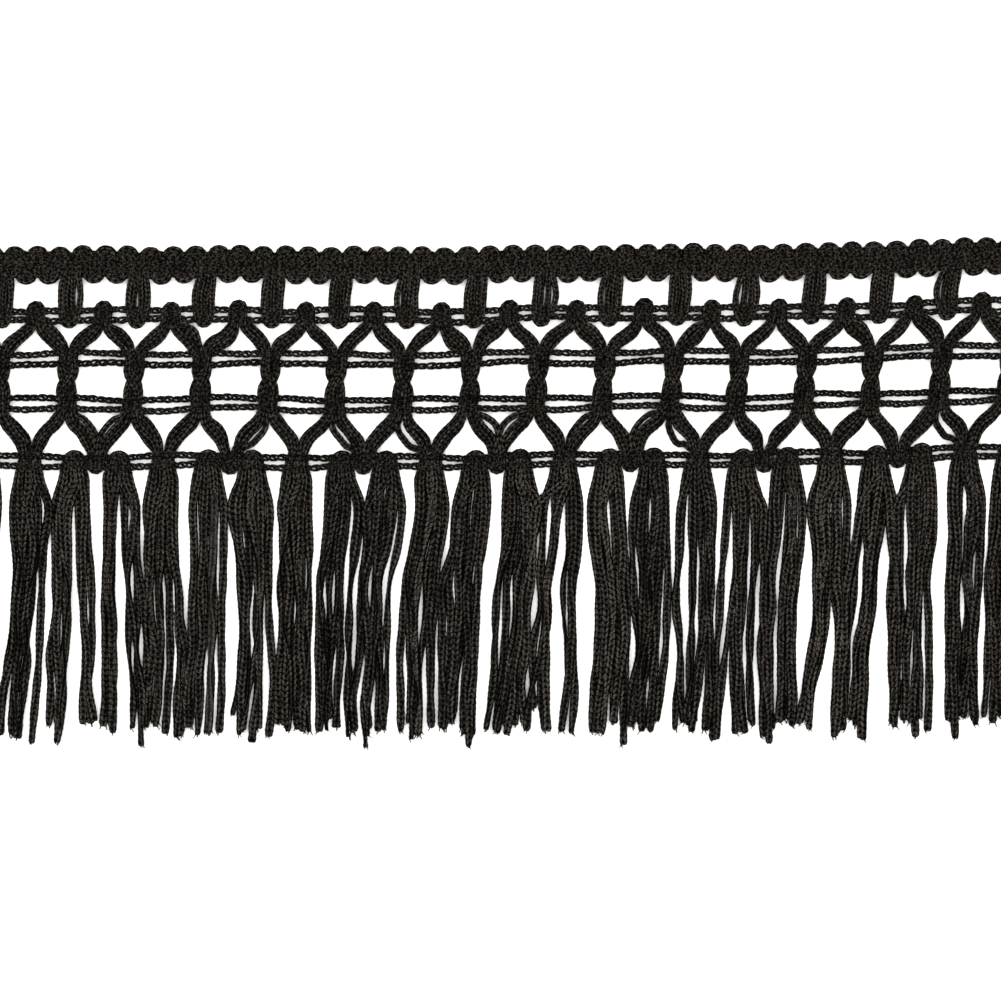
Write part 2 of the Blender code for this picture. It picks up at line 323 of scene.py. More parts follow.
@dataclass(frozen=True)
class Chainette:
    """A flattened knitted tube with two columns of loops on each flat side."""

    width: float
    thick: float
    stitch: float = 1.1 * MM
    relief: float = 0.2
    loops: Loops = Loops.CROSSED
    end_size: float = 0.72

    def tube(self, mesher: Mesher, path: Array, roll: Array, phase: int, squeeze: Array) -> None:
        """Adds this yarn along a path.

        Args:
            mesher: gathers the tube.
            path: points of the straight trim, half a stitch apart.
            roll: how far the flat side is turned about the path, for each point.
            phase: 0 or 1, which of the two rings of a stitch comes first.
            squeeze: share of its width that the yarn keeps, for each point.
        """
        ahead, left, up = path_frames(path)
        roll, squeeze = roll[:, None], squeeze[:, None]
        across = left * np.cos(roll) + up * np.sin(roll)
        over = up * np.cos(roll) - left * np.sin(roll)
        half = np.array(self.loops.value)
        turn, crest, ahead_share = np.vstack([half, half + (180, 0, 0)]).T
        turn = np.radians(turn)
        # Between two stitches the yarn is drawn in, less so at its edges.
        valley = crest * (1 - self.relief * (0.9 - 0.45 * np.abs(np.cos(turn))))
        rings = np.arange(len(path))
        even = ((rings + phase) % 2 == 0)[:, None]
        size = np.where(even, crest, valley)
        size[[0, -1]] *= self.end_size
        fade = np.clip(np.minimum(rings, rings[::-1]) / 2, 0.0, 1.0)[:, None]
        shift = ahead_share * fade * self.stitch
        points = (
            path[:, None, :]
            + across[:, None, :] * (np.cos(turn) * size * squeeze * self.width / 2)[..., None]
            + over[:, None, :] * (np.sin(turn) * size * squeeze**-0.4 * self.thick / 2)[..., None]
            + ahead[:, None, :] * shift[..., None]
        )
        mesher.tube(points, (rings + phase) / 2)


@dataclass(frozen=True)
class Bundle:
    """Chainettes that run side by side and over each other, as one filling yarn.

    Each point of its route has its place, then the share that the strands keep of their distance from
    the middle, and how far one outer strand bows out, to the left if more than nothing.
    """

    strand: Chainette
    # Each strand's place in the bundle, to the side and upwards, in millimetres.
    places: tuple[tuple[float, float], ...]
    # How far the bundle rocks about its middle, in radians, and over what lengths.
    rock: float = 0.35
    rock_lengths: tuple[float, float] = (17 * MM, 6.1 * MM)
    # Over what lengths a strand strays to the side, twice, and upwards, in millimetres.
    stray_lengths: Triple = (9.0, 5.3, 14.0)
    narrowest: float = 0.72

    def tubes(self, mesher: Mesher, route: Sequence[Sequence[float]], number: int, loose: float) -> None:
        """Adds all strands of the bundle along a route.

        Args:
            mesher: gathers the tubes.
            route: the route's own points on the straight trim, with share and bow.
            number: seeds its unevenness.
            loose: how far a strand strays from its place.
        """
        whole = smooth_path(route, self.strand.stitch / 2)
        centre, share, bow = whole[:, :3], whole[:, 3], whole[:, 4]
        _, left, _ = path_frames(centre)
        along = np.arange(len(centre)) * self.strand.stitch / 2
        slow, quick = self.rock_lengths
        angle = self.rock * (np.sin(along / slow + number) + 0.6 * np.sin(along / quick))
        places = np.array(self.places) * MM
        widest = np.abs(places[:, 0]).max()
        for index, (side, rise) in enumerate(places):
            stray = [
                math.tau * uneven(number, index, salt) + along / (length * MM) * math.tau
                for salt, length in enumerate(self.stray_lengths, start=1)
            ]
            wave = loose * (np.sin(stray[0]) + 0.6 * np.sin(stray[1]))
            offset = (side * np.cos(angle) - rise * np.sin(angle)) * share + wave
            offset = offset + bow * np.where(offset * bow > 0, 1.0 if abs(side) == widest else 0.2, 0.0)
            path = centre + left * offset[:, None]
            path[:, 2] += rise * np.cos(angle) + side * np.sin(angle) * 0.6 + 0.5 * loose * np.sin(stray[2])
            squeeze = np.clip(self.narrowest + (1 - self.narrowest) * share, self.narrowest, 1.0)
            self.strand.tube(mesher, path, 0.3 * np.sin(stray[2]) + angle * 0.5, index % 2, squeeze)


@dataclass(frozen=True)
class ChainCord:
    """A chain of loops made of one thread, each loop drawn through the one before."""

    width: float = 1.5 * MM
    thread: float = 0.54 * MM
    stitch: float = 1.725 * MM
    sides: int = 6
    steps: int = 10
    # One loop, up its left side, round its top, down its right side and along its float on the back: how
    # far along it in stitches, how far to the side in half widths, and how high from back (0) to face (1).
    loop: tuple[Triple, ...] = (
        (0.02, -0.36, 0.15), (0.26, -0.86, 0.62), (0.70, -1.00, 0.95), (1.10, -0.72, 1.00),
        (1.24, 0.00, 0.85), (1.10, 0.72, 1.00), (0.70, 1.00, 0.95), (0.26, 0.86, 0.62),
        (0.06, 0.40, 0.15), (0.36, 0.66, 0.00), (0.54, 0.60, 0.00), (0.74, 0.00, 0.00), (0.94, -0.62, 0.00),
    )
    # Unevenness of each loop: along in stitches, in width as a share, and to the side.
    uneven_along: float = 0.06
    uneven_width: float = 0.12
    uneven_side: float = 0.06 * MM

    def tube(self, mesher: Mesher, lie: Callable[[Array], tuple[Array, ...]], number: int) -> None:
        """Adds the cord from one end of the trim to the other.

        Args:
            mesher: gathers the tube.
            lie: gives the cord's y at places along the trim, and how high its floats and its loops lie.
            number: seeds its unevenness.
        """
        half_length = mesher.pattern.half_length
        stitches = int(round(2 * half_length / self.stitch)) - 1
        loop = np.array(self.loop)
        first = np.arange(stitches)[:, None]
        jitter = np.array([[uneven(number, k, salt) for salt in (4, 5, 6)] for k in range(stitches)])
        x = (first + loop[None, :, 0] + self.uneven_along * jitter[:, :1]) * self.stitch - half_length
        half = (self.width - self.thread) / 2 * (1 + self.uneven_width * jitter[:, 1:2])
        flip = 1 if uneven(number, 7) > 0 else -1
        side = flip * loop[None, :, 1] * half + self.uneven_side * jitter[:, 2:3]
        x, side = x.ravel(), side.ravel()
        height = np.tile(loop[:, 2], stitches)
        level, low, high = lie(x)
        route = np.column_stack([x, level + side, low + (high - low) * height])
        thread_in_stitch = self.stitch * 1.6 + 1.75 * self.width
        path = smooth_path(route, thread_in_stitch / self.steps)
        _, left, up = path_frames(path)
        turn = np.arange(self.sides)[None, :, None] / self.sides * 2 * math.pi
        rings = left[:, None, :] * np.cos(turn) + up[:, None, :] * np.sin(turn)
        mesher.tube(path[:, None, :] + self.thread / 2 * rings, np.arange(len(path)) / 2)


class Wire:
    """A shader value that takes part in sums, with numbers and with other values."""

    def __init__(self, graph: "Graph", socket: bpy.types.NodeSocket) -> None:
        """Wraps an output socket."""
        self.graph = graph
        self.socket = socket

    def _math(self, operation: str, *values: "Wire | float") -> "Wire":
        """A Math node on these values."""
        return self.graph.add("ShaderNodeMath", {"operation": operation}, dict(enumerate(values)))

    def __add__(self, other: "Wire | float") -> "Wire":
        """Sum."""
        return self._math("ADD", self, other)

    def __sub__(self, other: "Wire | float") -> "Wire":
        """Difference."""
        return self._math("SUBTRACT", self, other)

    def __rsub__(self, other: float) -> "Wire":
        """Difference from a number."""
        return self._math("SUBTRACT", other, self)

    def __mul__(self, other: "Wire | float") -> "Wire":
        """Product."""
        return self._math("MULTIPLY", self, other)

    def __pow__(self, other: "Wire | float") -> "Wire":
        """Power."""
        return self._math("POWER", self, other)

    # A sum and a product are the same with the number before the value.
    __radd__ = __add__
    __rmul__ = __mul__

    def wave(self, times: float = 1) -> "Wire":
        """A wave from 0 to 1 that is highest where this value, taken so many times, is whole."""
        return self._math("COSINE", self * (times * math.tau)) * 0.5 + 0.5

    def whole(self) -> "Wire":
        """The whole number at or below this value."""
        return self._math("FLOOR", self)

    def held(self) -> "Wire":
        """This value kept from 0 to 1."""
        return self.graph.add("ShaderNodeClamp", {}, {"Value": self})


class Graph:
    """The nodes of one material or world."""

    def __init__(self, owner: bpy.types.Material | bpy.types.World) -> None:
        """Starts on an empty tree."""
        owner.use_nodes = True
        self.tree = owner.node_tree
        self.tree.nodes.clear()

    def add(self, kind: str, settings: dict, values: dict, output: int | str = 0) -> Wire:
        """Adds a node.

        Args:
            kind: the node's type.
            settings: the node's own settings, which are made first.
            values: a value or a Wire for each input socket, by name or number.
            output: the name or number of the output that is wanted.

        Returns:
            The wanted output.
        """
        node = self.tree.nodes.new(kind)
        for name, value in settings.items():
            setattr(node, name, value)
        for name, value in values.items():
            if isinstance(value, Wire):
                self.tree.links.new(value.socket, node.inputs[name])
            else:
                node.inputs[name].default_value = value
        return Wire(self, node.outputs[output])

    def part(self, vector: Wire, axis: str) -> Wire:
        """One number of a vector."""
        return self.add("ShaderNodeSeparateXYZ", {}, {"Vector": vector}, axis)

    def join(self, x: "Wire | float", y: "Wire | float", z: "Wire | float") -> Wire:
        """A vector of three numbers."""
        return self.add("ShaderNodeCombineXYZ", {}, {"X": x, "Y": y, "Z": z})

    def noise(self, place: Wire, scale: float, detail: float, roughness: float = 0.5) -> Wire:
        """Soft noise at a place."""
        values = {"Vector": place, "Scale": scale, "Detail": detail, "Roughness": roughness}
        return self.add("ShaderNodeTexNoise", {}, values)

    def end(self, kind: str, surface: Wire) -> None:
        """Adds the node that ends the tree."""
        node = self.tree.nodes.new(kind)
        self.tree.links.new(surface.socket, node.inputs["Surface"])


@dataclass(frozen=True)
class YarnFinish:
    """Black silky yarn: its colour carries a painted highlight on the stitches' crowns and painted shade
    between them.
    """

    slot: str
    # light is the colour on the stitches' crowns, partly the yarn's own tone and partly a painted
    # highlight; dark is the colour of the painted shade in the hollows.
    light: Triple
    dark: Triple = (0.0007, 0.0005, 0.0004)
    roughness: float = 0.38
    lustre: float = 0.008
    relief: float = 0.16 * MM
    # Painted shade: how much darker the colour is made between two stitches, along the yarn's edges and
    # middle, where these meet, and along the line that parts the two plies of a stitch, where shade falls
    # in the hollows.
    between: float = 0.6
    seam_shade_depth: float = 0.8
    inside: float = 0.5
    pit_shade_depth: float = 0.95
    ply_shade_depth: float = 0.45
    # Fibres seen in one stitch and round the yarn, and how much they show.
    fibres: tuple[float, float] = (7.0, 5.0)
    fibre_share: float = 0.4
    # Scale of the patches of wear and of the grain, for each metre, and how sharply dark and light part.
    patch_scale: float = 800.0
    grain_scale: float = 3200.0
    contrast: float = 2.6

    @cache
    def material(self) -> bpy.types.Material:
        """Makes the material, once.

        Returns:
            The material.
        """
        made = bpy.data.materials.new(f"black_{self.slot}")
        graph = Graph(made)
        # A stitch is 1 along the yarn, and once round the yarn is 1 around, with two columns on each side.
        place = graph.add("ShaderNodeUVMap", {"uv_map": "yarn"}, {})
        along, around = graph.part(place, "X"), graph.part(place, "Y")
        stitch, seam, edge = along.wave(), around.wave(4), around.wave(2)
        strand = graph.add("ShaderNodeNewGeometry", {}, {}, "Random Per Island")
        apart = strand * 60
        # Painted shade: noise that picks stretches of each column whose edges lie sunk and are painted
        # darker.
        sunk_edge_shade = graph.noise(graph.join(along * 0.14, (around * 2 + 0.5).whole() * 3, apart), 1.0, 1.0)
        # Painted shade in the hollows: darker between two stitches, along the edges and middle, darkest in
        # the pits where these meet, and along the line between two plies. The same mask is the bump's
        # height and raises the roughness in the hollows.
        valley = (1 - stitch) ** 1.5
        painted_seam_shade = seam**1.3 * (self.inside + edge * (0.3 + ((sunk_edge_shade - 0.42) * 6).held()))
        painted_pit_shade = (valley * seam * 3.0 - 0.3).held()
        relief_and_painted_shade = (1 - valley * self.between) * (1 - (painted_seam_shade * self.seam_shade_depth).held()) * (1 - painted_pit_shade * self.pit_shade_depth)
        relief_and_painted_shade = relief_and_painted_shade * (1 - stitch**8 * self.ply_shade_depth)
        fibre = graph.noise(graph.join(along * self.fibres[0], around * self.fibres[1], 0.0), 1.0, 2.0)
        solid_place = graph.add("ShaderNodeTexCoord", {}, {}, "Object")
        patches = graph.noise(solid_place, self.patch_scale, 3.0, 0.75)
        grain = graph.noise(solid_place, self.grain_scale, 1.0)
        loop_place = graph.join((along + 0.5).whole(), (around * 4).whole(), apart)
        loop = graph.add("ShaderNodeTexWhiteNoise", {}, {"Vector": loop_place}, "Value")
        shade = strand * 0.3 + patches * 0.8 + loop * 0.3 + grain * 2.2 - 0.8
        # The tone mixes the painted shade and the painted highlight of the crowns with tone that differs at
        # random by strand, patch, loop and grain, and picks the colour between dark and light.
        tone = (relief_and_painted_shade * (shade + (fibre - 0.5) * self.fibre_share)).held() ** self.contrast
        # A Mix node has its two colours at the inputs 6 and 7, and the mixed one at the output 2.
        ends = {6: (*self.dark, 1.0), 7: (*self.light, 1.0)}
        colour = graph.add("ShaderNodeMix", {"data_type": "RGBA"}, {0: tone, **ends}, 2)
        bump = {"Height": relief_and_painted_shade + fibre * 0.35, "Strength": 1.0, "Distance": self.relief}
        values = {
            "Base Color": colour,
            "Roughness": (self.roughness + (patches - 0.5) * 0.3 + (1 - relief_and_painted_shade) * 0.25).held(),
            "Specular IOR Level": self.lustre,
            "Normal": graph.add("ShaderNodeBump", {}, bump),
        }
        graph.end("ShaderNodeOutputMaterial", graph.add("ShaderNodeBsdfPrincipled", {}, values))
        return made


class Yarn(Enum):
    """The finish of each part, under the slot that its material is named after."""

    # Each finish's first colour is its light colour on the crowns, partly the yarn's own tone and partly a
    # painted highlight.
    BRAID = YarnFinish(
        "braid_yarn", (0.0465, 0.0413, 0.0346), ply_shade_depth=0.3, fibres=(3.0, 14.0), fibre_share=0.8
    )
    NET = YarnFinish(
        "net_yarn",
        (0.0415, 0.0369, 0.0308),
        between=0.58,
        seam_shade_depth=0.65,
        inside=0.6,
        ply_shade_depth=0.3,
        fibres=(1.7, 20.0),
        fibre_share=0.9,
    )
    FRINGE = YarnFinish("fringe_yarn", (0.0600, 0.0536, 0.0457))


@dataclass
class Part:
    """A part of the trim, made of one or more pieces of one finish."""

    pattern: Pattern

    def piece(self, mesher: Mesher, name: str, yarn: Yarn, solid: str = "") -> Object:
        """Makes a piece of the gathered yarn, dressed and riding on the trim.

        Args:
            mesher: holds its tubes.
            name: the piece's name.
            yarn: its finish.
            solid: the solid that it replaces, if any.

        Returns:
            The piece.
        """
        made = mesher.object(name)
        made.data.materials.append(yarn.value.material())
        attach(made, "root")
        if solid:
            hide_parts(solid)
        return made


@dataclass
class HeadingBraid(Part):
    """The dense heading: filling yarn laid back and forth through chains, and its legs to the net."""

    half_height: float = 3.75 * MM
    middle_z: float = 1.15 * MM
    # Where the chains run, how high their floats lie, and how high their loops lie in mid braid.
    wales: Row = (-1.95 * MM, -0.65 * MM, 0.65 * MM, 1.95 * MM)
    wale_back: float = 0.3 * MM
    wale_face: float = 2.12 * MM
    ground_half: float = 2.45 * MM
    ground_thick: float = 0.9 * MM
    ground_stations: int = 300
    # How unevenly the filling yarn is laid at a scallop, and how far a leg moves and bows.
    nudge: float = 0.12 * MM
    leg_shift: float = 0.45 * MM
    leg_bow: float = 0.9 * MM
    leg_fuller: float = 0.16
    leg_end: float = -11.95 * MM
    looseness: float = 0.06 * MM
    filling: Bundle = Bundle(
        Chainette(1.3 * MM, 0.95 * MM, stitch=0.95 * MM, relief=0.17, loops=Loops.HERRINGBONE),
        ((-0.5, -0.4), (0.5, -0.4), (-0.5, 0.4), (0.5, 0.4)),
        rock=0.12,
    )
    cord: ChainCord = ChainCord(
        width=1.8 * MM,
        thread=0.6 * MM,
        loop=(
            (0.02, -0.18, 0.25), (0.25, -0.42, 0.65), (0.60, -0.78, 0.90), (0.95, -1.00, 1.00),
            (1.20, -0.60, 1.00), (1.30, 0.00, 0.85), (1.20, 0.60, 1.00), (0.95, 1.00, 1.00),
            (0.60, 0.78, 0.90), (0.25, 0.42, 0.65), (0.05, 0.20, 0.25), (0.40, 0.12, 0.00),
            (0.75, -0.10, 0.00),
        ),
    )

    def crest_route(self, x: float, top: bool, number: int) -> list[Row]:
        """The filling yarn's way round one scallop.

        Args:
            x: the scallop's middle.
            top: whether it is on the upper edge.
            number: seeds its unevenness.

        Returns:
            The points from left to right.
        """
        way = 1 if top else -1
        nudge = self.nudge * uneven(number, 11)
        high = self.half_height - self.filling.strand.thick + self.nudge * uneven(number, 12)
        # Distance from the scallop's middle, and from its highest point, in millimetres.
        rows = both_sides(((1.26, -2.6), (1.24, -1.3), (1.08, -0.6), (0.68, -0.14)))
        x += nudge
        return [(x + side * MM, way * (high + down * MM), self.middle_z, 0.9, 0.0) for side, down in rows]

    def leg_route(self, x: float, number: int) -> list[Row]:
        """The filling yarn's way down to the net, round the first pair of chains and back up.

        Args:
            x: the leg's middle.
            number: seeds its unevenness.

        Returns:
            The points from left to right.
        """
        shift = self.leg_shift * uneven(number, 13)
        fuller = self.leg_fuller * max(0.0, uneven(number, 16))
        bow = -self.leg_bow * max(0.0, abs(uneven(number, 14)) - 0.3)
        bows = (bow, 0.0) if uneven(number, 15) > 0 else (0.0, bow)
        # Distance from the leg's middle and y, in millimetres, share of the leg's own bend, and share of
        # the spread.
        rows = (
            (1.12, -0.2, 0.0, 0.8), (1.05, -2.4, 0.0, 0.9), (1.1, -4.0, 0.4, 1.08),
            (1.14, -6.2, 1.0, 1.12), (1.14, -8.2, 0.8, 1.08), (1.08, -10.0, 0.3, 0.95),
            (0.88, -11.1, 0.0, 0.85), (0.5, -11.8, 0.0, 0.85),
        )
        down, back = [], []
        for side, y, bend, share in rows:
            middle = x + bend * shift
            side *= (1 + fuller * bend) * MM
            down.append((middle - side, y * MM, self.middle_z, share, bows[0] * bend))
            back.append((middle + side, y * MM, self.middle_z, share, bows[1] * bend))
        return down + [(x, self.leg_end, self.middle_z, 0.8, 0.0)] + back[::-1]

    def filling_piece(self) -> Object:
        """The filling yarn, laid back and forth, with a leg at each third lower scallop.

        Returns:
            The piece.
        """
        mesher = Mesher(self.pattern)
        pitch = 2 * self.pattern.course
        scallops = self.pattern.units * 3
        route = []
        for number in range(scallops + 1):
            x = (number - scallops / 2) * pitch
            route += self.crest_route(x, True, number)
            if number == scallops:
                break
            leg = number % 3 == 1
            below = x + pitch / 2
            route += self.leg_route(below, number) if leg else self.crest_route(below, False, number + 500)
        self.filling.tubes(mesher, route, 1, self.looseness)
        return self.piece(mesher, "heading_filling", Yarn.BRAID, "heading_braid")

    def wale(self, number: int, x: Array) -> tuple[Array, float, float]:
        """A chain's y at places along the braid, and how high its floats and its loops lie."""
        face = self.wale_face - 0.2 * MM * abs(self.wales[number]) / self.wales[-1]
        return self.wales[number] + 0.1 * MM * np.sin(x * 900 + number), self.wale_back, face

    def wales_piece(self) -> Object:
        """The chains that hold the filling yarn.

        Returns:
            The piece.
        """
        mesher = Mesher(self.pattern)
        for number in range(len(self.wales)):
            self.cord.tube(mesher, partial(self.wale, number), number + 20)
        return self.piece(mesher, "heading_wales", Yarn.BRAID)

    def ground_piece(self) -> Object:
        """The middle of the braid, which keeps light from passing between the yarns.

        Returns:
            The piece.
        """
        mesher = Mesher(self.pattern)
        reach = self.pattern.half_length - 2 * MM
        stations = np.linspace(-reach, reach, self.ground_stations)
        side, up = np.array(((-1, -1), (1, -1), (1, 1), (-1, 1))).T
        rings = np.zeros((self.ground_stations, 4, 3))
        rings[..., 0] = stations[:, None]
        rings[..., 1] = side * self.ground_half
        rings[..., 2] = self.middle_z + up * self.ground_thick / 2
        mesher.tube(rings, stations / MM)
        return self.piece(mesher, "heading_ground", Yarn.BRAID)

    def build(self) -> list[Object]:
        """Makes the heading's pieces."""
        return [self.filling_piece(), self.wales_piece(), self.ground_piece()]


@dataclass
class LatticeNet(Part):
    """Four pairs of chain cords, and two filling yarns that zigzag between them."""

    # Where the chain cords run: y in millimetres.
    rows: Row = (-9.2, -11.2, -18.1, -20.2, -27.3, -29.4, -39.0, -41.0)
    middle_z: float = 1.15 * MM
    crossing_lift: float = 0.45 * MM
    filling: Bundle = Bundle(
        Chainette(1.45 * MM, 0.9 * MM, relief=0.17),
        ((-0.86, -0.15), (0.3, -0.42), (-0.3, 0.42), (0.86, 0.15)),
    )
    cord: ChainCord = ChainCord()
    # A filling yarn's way through a column, from a top knot down to the crossing and from there down to a
    # bottom knot: distance from the column and y, in millimetres, share of the lift at the crossing, share
    # of the spread, and share of the bow.
    upper_arm: tuple[Row, ...] = (
        (-5.95, -11.4, 0.0, 0.66, 0.0), (-5.7, -12.6, 0.0, 0.74, 0.2), (-4.6, -13.8, 0.0, 0.95, 0.8),
        (-3.2, -15.0, 0.0, 1.0, 1.0), (-1.9, -16.3, 0.1, 0.95, 0.4), (-1.15, -17.6, 0.3, 0.75, 0.0),
        (-0.95, -19.2, 0.5, 0.62, 0.0), (-0.98, -21.8, 0.9, 0.65, 0.0),
    )
    lower_arm: tuple[Row, ...] = (
        (0.0, -23.6, 1.2, 0.88, 0.0), (0.98, -25.4, 0.9, 0.65, 0.0), (0.95, -28.2, 0.5, 0.6, 0.0),
        (1.1, -30.4, 0.2, 0.72, 0.1), (1.95, -32.2, 0.0, 0.95, 0.8), (3.7, -34.0, 0.0, 1.05, 1.0),
        (5.0, -35.7, 0.0, 1.0, 0.8), (5.6, -37.2, 0.0, 0.8, 0.3), (5.9, -38.3, 0.0, 0.65, 0.0),
    )
    # Where a knot ends under the heading, below the fringe line and on it: y in millimetres.
    top_end: float = -8.4
    low_end: float = -41.75
    high_end: float = -40.2
    # How far a column stands aside, an arm bulges, and a point of the yarn strays along and across.
    aside: float = 0.3 * MM
    bulge: float = 0.5 * MM
    stray: tuple[float, float] = (0.12 * MM, 0.10 * MM)
    looseness: float = 0.1 * MM
    # How far an outer strand bows out of a slack upper and lower arm, and from which chance on.
    upper_slack: float = 2.0 * MM
    lower_slack: float = 3.6 * MM
    slack_from: float = 0.36
    # Half the width of the filling yarn on a chain cord at a leg, a knot, a column and a tassel.
    leg_half: float = 2.3 * MM
    knot_half: float = 1.9 * MM
    column_half: float = 2.1 * MM
    tassel_half: float = 2.6 * MM
    # How high the cords' floats and loops lie, and how much lower and higher in a crossing, in millimetres.
    back: tuple[float, float] = (0.62, 0.36)
    face: tuple[float, float] = (1.2, 0.9)

    def knot_route(self, x: float, top: bool, low: bool) -> list[Row]:
        """The filling yarn's way round a knot.

        Args:
            x: the knot's middle.
            top: whether the knot sits under the heading or on the fringe line.
            low: whether a knot on the fringe line hangs below it, between two tassels.

        Returns:
            The points from left to right.
        """
        way, end = (1, self.top_end) if top else (-1, self.low_end if low else self.high_end)
        # Distance from the knot's middle, and from its end, in millimetres.
        rows = both_sides(((0.9, -2.0), (0.88, -0.95), (0.55, -0.22)))
        return [(x + side * MM, (end + way * down) * MM, self.middle_z, 0.62, 0.0) for side, down in rows]

    def pass_route(self, number: int, falling: bool) -> list[Row]:
        """The filling yarn's way through a column, from left to right.

        Args:
            number: the column.
            falling: whether the yarn goes down on its way to the right.

        Returns:
            The points from left to right.
        """
        column = self.pattern.column(number)
        over = 1 if falling == (number % 2 == 0) else -1
        shift = self.aside * uneven(number, 31)
        bulge = self.bulge * uneven(number, 39, falling)
        points = []
        for index, (across, y, lift, share, bow) in enumerate(self.upper_arm + self.lower_arm):
            upper = index < len(self.upper_arm)
            chance = uneven(number, 36 + upper, falling)
            slack = self.upper_slack if upper else self.lower_slack
            bowed = slack * max(0.0, abs(chance) - self.slack_from) * (1 if chance > 0 else -1)
            x = column + (across if falling else -across) * MM + shift
            stray_x = self.stray[0] * uneven(number, index, 32 + falling) + bulge * bow
            stray_y = self.stray[1] * uneven(number, index, 34 + falling)
            z = self.middle_z + over * lift * self.crossing_lift
            points.append((x + stray_x, y * MM + stray_y, z, share, bow * bowed))
        return points if falling else points[::-1]

    def filling_piece(self) -> Object:
        """Both filling yarns.

        Returns:
            The piece.
        """
        mesher = Mesher(self.pattern)
        for start in (0, 1):
            route = []
            for number in range(self.pattern.units + 1):
                top = (number + start) % 2 == 1
                route += self.knot_route(self.pattern.knot(number), top, number % 2 == 0)
                if number < self.pattern.units:
                    route += self.pass_route(number, top)
            self.filling.tubes(mesher, route, 40 + start, self.looseness)
        return self.piece(mesher, "net_filling", Yarn.NET, "lattice_net")

    def within(self, row: int, x: Array) -> Array:
        """How far a chain cord is inside a crossing with filling yarn.

        Args:
            row: the cord, counted from the top.
            x: places along the trim.

        Returns:
            A share for each place.
        """
        pattern = self.pattern
        columns = [pattern.column(number) for number in range(pattern.units)]
        knots = [pattern.knot(number) for number in range(pattern.units + 1)]
        roots = [pattern.tassel_root(number) for number in range(pattern.tassels)]
        if row < 2:
            crossings = [(columns, self.leg_half), (knots, self.knot_half)]
        elif row < 6:
            crossings = [(columns, self.column_half)]
        elif row == 6:
            crossings = [(roots, self.column_half), (knots, self.knot_half)]
        else:
            crossings = [(knots[::2], self.knot_half), (roots, self.tassel_half)]
        share = np.zeros_like(x)
        for middles, half in crossings:
            away = np.abs(x[:, None] - middles).min(axis=1)
            share = np.maximum(share, smooth_step((half + 0.5 * MM - away) / (0.9 * MM)))
        return share

    def lie(self, row: int, x: Array) -> tuple[Array, Array, Array]:
        """How a chain cord lies in the net.

        Args:
            row: the cord, counted from the top.
            x: places along the trim.

        Returns:
            Its y, and how high its floats and its loops lie.
        """
        inward = -1 if row % 2 == 0 else 1
        inside = self.within(row, x)
        drawn_in = 0.12 * MM * inside * inward
        units = x / self.pattern.unit
        slow = 0.22 * MM * np.sin(units * 2.1 + row // 2 * 1.7)
        quick = 0.1 * MM * np.sin(units * math.tau + row * 2.3)
        closer = 0.1 * MM * np.sin(units * 3.3 + row // 2) * inward
        y = self.rows[row] * MM + drawn_in + slow + quick + closer
        low, high = self.back[0] - self.back[1] * inside, self.face[0] + self.face[1] * inside
        return y, low * MM, high * MM

    def chains_piece(self) -> Object:
        """The eight chain cords.

        Returns:
            The piece.
        """
        mesher = Mesher(self.pattern)
        for row in range(len(self.rows)):
            self.cord.tube(mesher, partial(self.lie, row), row + 60)
        return self.piece(mesher, "net_chains", Yarn.NET)

    def build(self) -> list[Object]:
        """Makes the net's pieces."""
        return [self.filling_piece(), self.chains_piece()]


